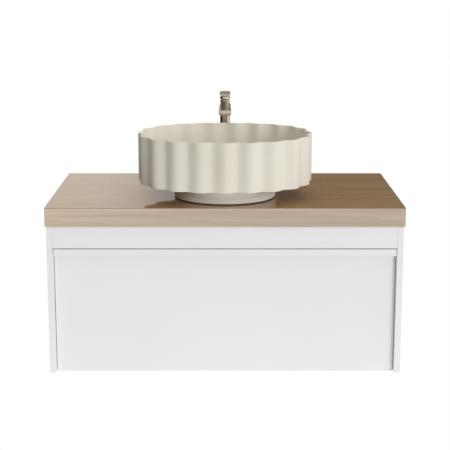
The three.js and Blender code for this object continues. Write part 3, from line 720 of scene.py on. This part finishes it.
PIPE_OUTER, PIPE_INNER = 16 * MM, 14 * MM
BARREL_OUTER, BARREL_INNER = 21.5 * MM, 19 * MM
STUB_OUTER, STUB_INNER = 18 * MM, 15.5 * MM
DRAIN_AXIS = (BASIN_AT.x, BASIN_AT.y, 0)
OUTLET_LEVEL = middle("trap_outlet_pipe").z


def make_waste_fitting():
    """The flanged body under the plug, narrower where it enters the trap.

    The arms inside the CAD body that guide the plug's stem are left out, because the plug hides them.
    """
    flange = high("waste_body")
    under_flange = flange.z - 2.2 * MM
    turned_for("waste_body", "waste_fitting", [
        (PIPE_INNER, low("waste_body").z), (PIPE_OUTER, low("waste_body").z),
        (PIPE_OUTER, UNDER - 26 * MM), (BARREL_OUTER, UNDER - 24 * MM),
        (BARREL_OUTER, under_flange), (flange.x, under_flange), (flange.x, flange.z),
        (25 * MM, flange.z), (BARREL_INNER, flange.z - 3 * MM), (BARREL_INNER, UNDER - 22 * MM),
        (PIPE_INNER, UNDER - 25 * MM),
    ], DRAIN_AXIS)


def make_waste_seals():
    """The gasket under the flange, the one under the worktop, and the nut that clamps them."""
    for node, name in (("waste_top_gasket", "waste_upper_gasket"),
                       ("waste_bottom_gasket", "waste_lower_gasket")):
        profile = tube_profile(high(node).x, BARREL_OUTER + 0.5 * MM, low(node).z, high(node).z)
        turned_for(node, name, profile, DRAIN_AXIS, corner=0.5 * MM)
    hex_nut("waste_lock_nut", "waste_nut", BARREL_OUTER + GAP, DRAIN_AXIS)


def make_waste_plug():
    """The click plug: a domed cap on a stem."""
    stem_end, cap = low("waste_plug").z, high("waste_plug")
    stem, under_cap = 4 * MM, cap.z - 5.7 * MM
    turned_for("waste_plug", "waste_plug_cap", [
        (0, stem_end), (stem, stem_end), (stem, under_cap), (cap.x - 2 * MM, under_cap),
        (cap.x, under_cap + 1.2 * MM), (cap.x, cap.z - 2.6 * MM),
        (cap.x - 3 * MM, cap.z - 0.6 * MM), (cap.x * 0.55, cap.z - 0.1 * MM), (0, cap.z),
    ], DRAIN_AXIS, corner=1.2 * MM, closed=False)


def make_trap_inlet():
    """The nut on the waste's tail, and the tube that dips into the bottle."""
    hex_nut("trap_coupling_nut", "trap_inlet_nut", PIPE_OUTER + GAP, DRAIN_AXIS)
    dip_low, dip_high = low("trap_dip_tube"), high("trap_dip_tube")
    turned_for("trap_dip_tube", "trap_inner_tube",
               tube_profile(PIPE_OUTER, PIPE_INNER, dip_low.z, dip_high.z), DRAIN_AXIS)


def make_trap_bottle():
    """The bottle with its collar, and the outlet's stub joined to its rear."""
    base, crown = low("trap_body").z, high("trap_body").z
    outer = high("trap_body").x
    wall = outer - 1 * MM
    collar = 22 * MM
    shell = turned("trap_bottle", [
        (outer - 2.5 * MM, base), (outer, base), (outer, base + 5 * MM), (wall, base + 6 * MM),
        (wall, crown - 20 * MM), (outer - 3 * MM, crown - 15 * MM),
        (collar + 1 * MM, crown - 11 * MM), (collar, crown - 9 * MM), (collar, crown),
        (PIPE_OUTER + GAP, crown), (PIPE_OUTER + GAP, crown - 14 * MM),
        (outer - 3.5 * MM, crown - 21 * MM),
    ], DRAIN_AXIS, corner=2.5 * MM)
    stub_length = high("trap_body").y - BASIN_AT.y
    stub = turned("tool", tube_profile(STUB_OUTER, STUB_INNER, 29 * MM, stub_length),
                  (BASIN_AT.x, BASIN_AT.y, OUTLET_LEVEL), axis="y")
    stands_for(smooth_piece(combine(shell, stub, "UNION")), "trap_body")


def make_trap_cup():
    """The cup that unscrews from the bottle's lower end for cleaning."""
    cup_low, cup_high = low("trap_cup"), high("trap_cup")
    ridge = cup_high.x
    turned_for("trap_cup", "trap_cleaning_cup", [
        (0, cup_low.z), (ridge - 9 * MM, cup_low.z), (ridge - 1.5 * MM, cup_low.z + 4 * MM),
        (ridge, cup_high.z - 6 * MM), (ridge, cup_high.z), (ridge - 2.5 * MM, cup_high.z),
        (ridge - 2.5 * MM, cup_low.z + 6 * MM), (0, cup_low.z + 4 * MM),
    ], DRAIN_AXIS, corner=2 * MM, closed=False)


def make_trap_outlet():
    """The nut, the pipe to the wall and the rosette that covers the hole in the wall."""
    hex_nut("trap_outlet_coupling", "trap_outlet_nut", STUB_OUTER + GAP,
            (BASIN_AT.x, BASIN_AT.y, OUTLET_LEVEL), axis="y")
    wall_end = (BASIN_AT.x, 0, OUTLET_LEVEL)
    pipe_low, pipe_high = low("trap_outlet_pipe"), high("trap_outlet_pipe")
    turned_for("trap_outlet_pipe", "trap_waste_pipe",
               tube_profile(PIPE_OUTER, PIPE_INNER, pipe_low.y, pipe_high.y),
               wall_end, axis="y")
    front, back = low("trap_wall_rosette").y, high("trap_wall_rosette").y
    rim = high("trap_wall_rosette").x
    turned_for("trap_wall_rosette", "trap_rosette", [
        (PIPE_OUTER + GAP, front), (18.5 * MM, front), (22 * MM, front + 2.5 * MM),
        (28 * MM, front + 6.5 * MM), (rim, back - 2 * MM), (rim, back), (PIPE_OUTER + GAP, back),
    ], wall_end, corner=2.5 * MM, axis="y")


# ---------------------------------------------------------------- tap

COLUMN_RADIUS = high("tap_column").x
CARTRIDGE_RADIUS = 12.5 * MM
SHANK_RADIUS = 14 * MM
TAP_AXIS = (TAP_AT.x, TAP_AT.y, 0)
PIN_AT = (TAP_AT.x, TAP_AT.y, middle("tap_lever_pin").z)


def tap_outline(rear_radius, front_half, reach, corner):
    """A plate's outline, anticlockwise: round the column at the rear, square at the front."""
    rear = [(rear_radius * math.cos(a), rear_radius * math.sin(a))
            for a in np.linspace(0, math.pi, 49)]
    turns = [(-front_half + corner, math.pi), (front_half - corner, 1.5 * math.pi)]
    front = [(x + corner * math.cos(a), -reach + corner + corner * math.sin(a))
             for x, begin in turns for a in np.linspace(begin, begin + math.pi / 2, 9)]
    return [*rear, *front]


def make_tap_foot_ring():
    """The ring round the column's foot."""
    foot, shoulder = low("tap_base_ring").z, high("tap_base_ring")
    turned_for("tap_base_ring", "tap_foot_ring", [
        (COLUMN_RADIUS + GAP, foot), (shoulder.x, foot), (shoulder.x, shoulder.z - 1.5 * MM),
        (shoulder.x - 1.5 * MM, shoulder.z), (COLUMN_RADIUS + GAP, shoulder.z),
    ], TAP_AXIS, corner=0.8 * MM)


def make_tap_column():
    """The column, hollow for the water, with a socket for the cartridge at its top.

    Its neck tapers above the spout, so that it reflects the spout's upper face.
    """
    base, top = low("tap_column").z, high("tap_column").z
    over_spout, seat = high("tap_spout").z, low("tap_cartridge").z
    supply, socket = 9 * MM, CARTRIDGE_RADIUS + GAP
    neck = COLUMN_RADIUS - 1.6 * MM
    turned_for("tap_column", "tap_pillar", [
        (supply, base), (COLUMN_RADIUS, base), (COLUMN_RADIUS, over_spout + 0.4 * MM),
        (neck, over_spout + 0.9 * MM), (COLUMN_RADIUS - 0.3 * MM, top - 2.4 * MM),
        (COLUMN_RADIUS, top - 2.0 * MM), (COLUMN_RADIUS, top), (socket, top), (socket, seat),
        (supply, seat),
    ], TAP_AXIS, corner=0.5 * MM, segments=128)


def make_tap_spout():
    """A flat bar with a hole for the column and a mouth for the aerator."""
    lowest, highest = low("tap_spout"), high("tap_spout")
    outline = tap_outline(highest.y - TAP_AT.y, highest.x, TAP_AT.y - lowest.y, 3 * MM)
    bar = plate("tap_spout_bar", outline, lowest.z, highest.z, 1 * MM, TAP_AXIS, low_edge=4 * MM)
    hole = cylinder(COLUMN_RADIUS + GAP, lowest.z - MM, highest.z + MM, TAP_AXIS, 128)
    mouth_at = (TAP_AT.x, middle("tap_aerator").y, 0)
    mouth = cylinder(11 * MM, lowest.z - MM, high("tap_aerator").z + MM, mouth_at, 96)
    bar = combine(combine(bar, hole, "DIFFERENCE"), mouth, "DIFFERENCE")
    stands_for(smooth_piece(bar), "tap_spout")


def make_tap_cartridge():
    """The ceramic cartridge and the ring that holds it down."""
    seat, crown = low("tap_cartridge").z, high("tap_cartridge").z
    turned_for("tap_cartridge", "tap_ceramic_cartridge", [
        (0, seat), (CARTRIDGE_RADIUS, seat), (CARTRIDGE_RADIUS, crown - 4 * MM),
        (11 * MM, crown - 3 * MM), (11 * MM, crown), (0, crown),
    ], TAP_AXIS, corner=0.5 * MM, closed=False)
    nut_low, nut_high = low("tap_cartridge_nut"), high("tap_cartridge_nut")
    turned_for("tap_cartridge_nut", "tap_cartridge_ring",
               tube_profile(CARTRIDGE_RADIUS, 10 * MM, nut_low.z, nut_high.z), TAP_AXIS)


def make_tap_aerator():
    """A ring with a fine grid of bars across its mouth."""
    lowest, highest = low("tap_aerator"), high("tap_aerator")
    at = (TAP_AT.x, middle("tap_aerator").y, 0)
    outer = (highest.x - lowest.x) / 2
    inner = outer - 2.6 * MM
    ring = turned("tap_aerator_insert", tube_profile(outer, inner, lowest.z, highest.z), at,
                  corner=0.4 * MM)
    ring.modifiers.clear()
    pitch, half_width = 2.0 * MM, 0.35 * MM
    count = int(inner / pitch)
    for across, lift in ((False, 1.4 * MM), (True, 2.2 * MM)):
        for i in range(-count, count + 1):
            place = i * pitch
            half_length = math.sqrt(max(inner ** 2 - place ** 2, 0)) + GAP
            half_x, half_y = (half_width, half_length) if across else (half_length, half_width)
            x, y = (at[0] + place, at[1]) if across else (at[0], at[1] + place)
            bottom = lowest.z + lift
            outline = box_outline(x - half_x, x + half_x, y - half_y, y + half_y)
            merge(ring, plate("tool", outline, bottom, bottom + 2 * half_width, 0.1 * MM))
    stands_for(smooth_piece(ring), "tap_aerator")


def drilled_for_pin(obj):
    """Cuts the lever pin's hole, along X, through the whole piece."""
    hole = cylinder(1.8 * MM, -20 * MM, 20 * MM, PIN_AT, 32, axis="x")
    return combine(obj, hole, "DIFFERENCE")


def make_tap_hub():
    """The swivelling hub, with a boss into the column and a slot for the lever's neck."""
    bottom, top = low("tap_hub").z, high("tap_hub").z
    shoulder = top - 10.1 * MM
    hub = turned("tap_swivel_hub", [
        (0, bottom), (12 * MM, bottom), (12 * MM, shoulder), (COLUMN_RADIUS - 1.2 * MM, shoulder),
        (COLUMN_RADIUS, shoulder + 2.2 * MM), (COLUMN_RADIUS, top), (0, top),
    ], TAP_AXIS, segments=128, closed=False)
    slot = plate("tool", box_outline(-6 * MM, 6 * MM, -6 * MM, 12.8 * MM),
                 bottom - 5 * MM, top + 5 * MM, 0.1 * MM, TAP_AXIS)
    hub = drilled_for_pin(combine(hub, slot, "DIFFERENCE"))
    stands_for(smooth_piece(hub), "tap_hub")


def make_tap_lever():
    """The flat blade, and the neck below it that turns on the pin."""
    lowest, highest = low("tap_lever"), high("tap_lever")
    under = highest.z - 3.4 * MM
    outline = tap_outline(highest.y - TAP_AT.y, highest.x, TAP_AT.y - lowest.y, 1.5 * MM)
    blade = plate("tap_lever_blade", outline, under, highest.z, 0.6 * MM, TAP_AXIS)
    neck_outline = rounded(box_outline(-5 * MM, 5 * MM, -4 * MM, 4 * MM), 1.2 * MM, 5)
    neck = plate("tool", neck_outline, lowest.z, under + 0.8 * MM, 0.5 * MM, TAP_AXIS)
    blade = drilled_for_pin(combine(blade, neck, "UNION"))
    stands_for(smooth_piece(blade), "tap_lever")


def make_tap_pin():
    """The pin across the hub that the lever tilts on."""
    left, right = low("tap_lever_pin").x, high("tap_lever_pin").x
    radius = high("tap_lever_pin").z - PIN_AT[2]
    profile = [(0, left), (radius, left), (radius, right), (0, right)]
    turned_for("tap_lever_pin", "tap_pivot_pin", profile, (0, *PIN_AT[1:]), corner=0.3 * MM,
               segments=48, axis="x", closed=False)


def make_tap_fixing():
    """The threaded shank under the column, with the washer and the nut that clamp it."""
    shank = threaded("tap_threaded_shank", SHANK_RADIUS, 11 * MM, low("tap_shank").z,
                     high("tap_shank").z, 1.5 * MM, TAP_AXIS)
    stands_for(shank, "tap_shank")
    washer_low, washer_high = low("tap_rubber_washer"), high("tap_rubber_washer")
    turned_for("tap_rubber_washer", "tap_seal_washer",
               tube_profile(washer_high.x, SHANK_RADIUS + GAP, washer_low.z, washer_high.z),
               TAP_AXIS)
    hex_nut("tap_clamp_nut", "tap_fixing_nut", SHANK_RADIUS + GAP, TAP_AXIS)


def make_tap_inlets():
    """The tails for the hot and the cold supply."""
    for side in ("hot", "cold"):
        node = f"tap_{side}_inlet"
        turned_for(node, f"tap_{side}_tail",
                   tube_profile(5 * MM, 3.2 * MM, low(node).z, high(node).z),
                   (middle(node).x, TAP_AT.y, 0), corner=0.4 * MM, segments=64)


# ---------------------------------------------------------------- all the pieces

make_basin()
make_basin_seal()
make_waste_fitting()
make_waste_seals()
make_waste_plug()
make_trap_inlet()
make_trap_bottle()
make_trap_cup()
make_trap_outlet()
make_tap_foot_ring()
make_tap_column()
make_tap_spout()
make_tap_aerator()
make_tap_cartridge()
make_tap_hub()
make_tap_lever()
make_tap_pin()
make_tap_fixing()
make_tap_inlets()

edge_widths = {
    "oak_top": 0.5 * MM, "oak_edge": 0.5 * MM, "white_lacquer": 0.4 * MM,
    "drawer_board": 0.6 * MM, "zinc_plate": 0.4 * MM, "runner_steel": 0.3 * MM,
}
for node, slot in slot_of.items():
    paint(node)
    if not cad[node].hide_render and slot in edge_widths:
        soften(node, edge_widths[slot])


# ---------------------------------------------------------------- stage, light and camera

FLOOR_BELOW_DECK = 0.85
FLOOR_HALF = 2.4
# The photograph's camera is level with its lens shifted far down. This one is pitched and
# shifted a little, fitted to the same corners, so that every other view keeps the part in it.
CAMERA_AT = (0, -3.4077, 0.6979)
CAMERA_PITCH = 10.314    # degrees below level
CAMERA_LENS = 86.38      # millimetres
CAMERA_SHIFT = -0.15     # share of the picture's width


def make_floor():
    """A plain white floor that the camera sees at full brightness."""
    build = bmesh.new()
    outline = box_outline(-FLOOR_HALF, FLOOR_HALF, -FLOOR_HALF, FLOOR_HALF)
    build.faces.new([build.verts.new((x, y, DECK - FLOOR_BELOW_DECK)) for x, y in outline])
    floor = new_object("floor", build)
    tree = start("floor_white")
    bright = tree.node("ShaderNodeEmission", {"Color": rgb(1, 1, 1), "Strength": 1.0}).outputs[0]
    tree.node("ShaderNodeOutputMaterial", {"Surface": bright})
    floor.data.materials.append(tree.owner)


def make_world():
    """White for the camera, a broad soft light for matt surfaces, and a studio for glossy ones.

    The soft light grows towards the right and overhead. Glossy surfaces see a studio in three
    parts. Above the horizon its rear is pale on the left and dark on the right, and its front
    grows paler to the right. Below the horizon it is dark behind on the left, and bright in
    front on the right.
    """
    world = bpy.data.worlds.new("studio")
    bpy.context.scene.world = world
    tree = Tree(world)
    direction = tree.node("ShaderNodeTexCoord").outputs["Generated"]
    x, y, z = tree.node("ShaderNodeSeparateXYZ", {0: direction}).outputs

    def choose(factor, first, second):
        return tree.math("ADD", tree.math("MULTIPLY", first, tree.math("SUBTRACT", 1.0, factor)),
                         tree.math("MULTIPLY", second, factor))

    from_right = tree.math("ADD", tree.math("MULTIPLY", x, 0.54), 0.14)
    overhead = tree.remap(z, 0.15, 0.75, 0.0, 0.76, smooth=True)
    soft = tree.math("ADD", tree.math("MAXIMUM", from_right, 0.05), overhead)

    rear = tree.remap(x, -0.12, 0.06, 1.05, 0.08, smooth=True)
    front = tree.remap(x, -0.8, 0.6, 0.15, 0.85, smooth=True)
    above = choose(tree.remap(y, 0.1, 0.5, 0.0, 1.0, smooth=True), front, rear)
    diagonal = tree.math("ADD", tree.math("MULTIPLY", x, 0.64), tree.math("MULTIPLY", y, -0.77))
    below = tree.remap(diagonal, -0.32, 0.40, 0.03, 1.25, smooth=True)
    studio = choose(tree.remap(z, -0.04, 0.04, 0.0, 1.0, smooth=True), below, above)

    path = tree.node("ShaderNodeLightPath").outputs
    level = choose(path["Is Glossy Ray"], soft, studio)
    level = tree.math("MAXIMUM", level, path["Is Camera Ray"])
    side = tree.remap(x, -1, 1, 0, 1)
    tint = tree.mix(side, rgb(1.0, 0.965, 0.90), rgb(0.99, 1.0, 1.03))
    tint = tree.mix(path["Is Glossy Ray"], tint, rgb(1.0, 0.945, 0.89))
    tint = tree.mix(path["Is Camera Ray"], tint, rgb(1, 1, 1))
    sky = tree.node("ShaderNodeBackground", {"Color": tint, "Strength": level}).outputs[0]
    tree.node("ShaderNodeOutputWorld", {"Surface": sky})


def make_light(name, target, azimuth, elevation, distance, size, irradiance):
    """A square soft light that no glossy surface sees.

    Azimuth turns from the front, -Y, towards +X. The irradiance is the one at the target.
    """
    lamp = bpy.data.lights.new(name, "AREA")
    lamp.shape = "SQUARE"
    lamp.size = size
    lamp.energy = irradiance * math.pi * distance ** 2
    holder = bpy.data.objects.new(name, lamp)
    bpy.context.scene.collection.objects.link(holder)
    turn, rise = math.radians(azimuth), math.radians(elevation)
    away = Vector((math.sin(turn) * math.cos(rise), -math.cos(turn) * math.cos(rise),
                   math.sin(rise)))
    holder.location = target + away * distance
    holder.rotation_euler = away.to_track_quat("Z", "Y").to_euler()
    holder.visible_glossy = False


def make_camera():
    lens = bpy.data.cameras.new("camera")
    lens.lens = CAMERA_LENS
    lens.shift_y = CAMERA_SHIFT
    camera = bpy.data.objects.new("camera", lens)
    bpy.context.scene.collection.objects.link(camera)
    camera.location = CAMERA_AT
    camera.rotation_euler = (math.radians(90 - CAMERA_PITCH), 0, 0)
    bpy.context.scene.camera = camera


make_floor()
make_world()
make_light("key", middle("basin"), azimuth=29, elevation=10, distance=14, size=4,
           irradiance=1.13)
make_camera()
bpy.context.scene.view_settings.view_transform = "Standard"
